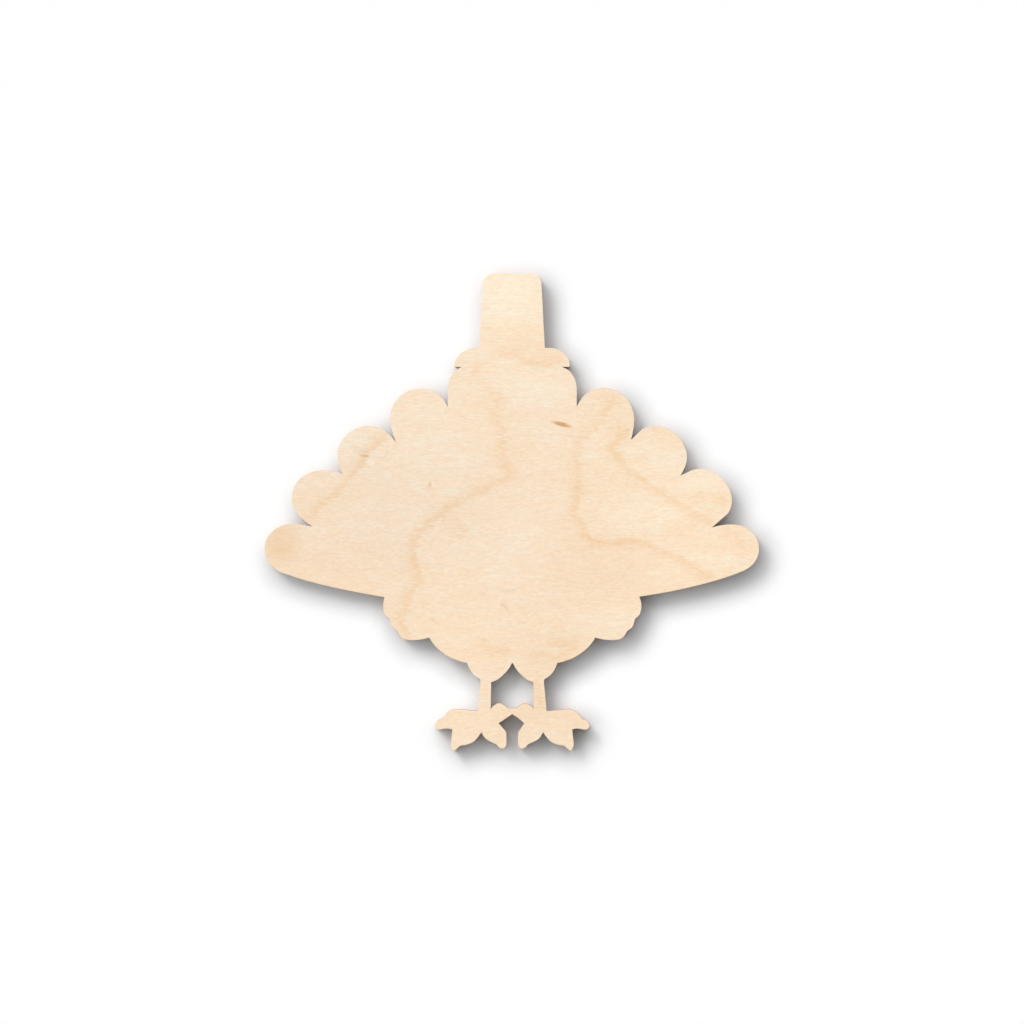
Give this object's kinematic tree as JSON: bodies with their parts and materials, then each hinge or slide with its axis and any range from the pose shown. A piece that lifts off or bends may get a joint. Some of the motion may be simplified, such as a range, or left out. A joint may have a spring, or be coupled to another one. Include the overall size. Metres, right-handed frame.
{
  "type": "wooden turkey cutout",
  "caption": "Flat turkey silhouette in a tall flat-topped hat, with fanned tail and clawed feet, cut from unfinished plywood as a blank for holiday crafts.",
  "frame": {"origin": "centre of the outline's bounding box, on the back face that the blank lies on", "axes": "+Z out of the good face, +Y from the feet to the top of the hat, +X to the viewer's right"},
  "size_m": [0.305, 0.2944, 0.006],
  "materials": {
    "face_veneer": "pale birch veneer, rotary cut and sanded fine, unfinished",
    "crossband": "birch ply with its end grain at the long edges, toasted by the laser",
    "core_ply": "birch ply, laser-cut edge",
    "back_veneer": "second-grade birch veneer, sanded, unfinished",
    "glue_line": "hardened adhesive film, dark brown where it is cut"
  },
  "bodies": {
    "root": {"back_veneer": "back_veneer", "glue_line_1": "glue_line", "crossband_back": "crossband", "glue_line_2": "glue_line", "core_ply": "core_ply", "glue_line_3": "glue_line", "crossband_front": "crossband", "glue_line_4": "glue_line", "face_veneer": "face_veneer"}
  },
  "joints": []
}
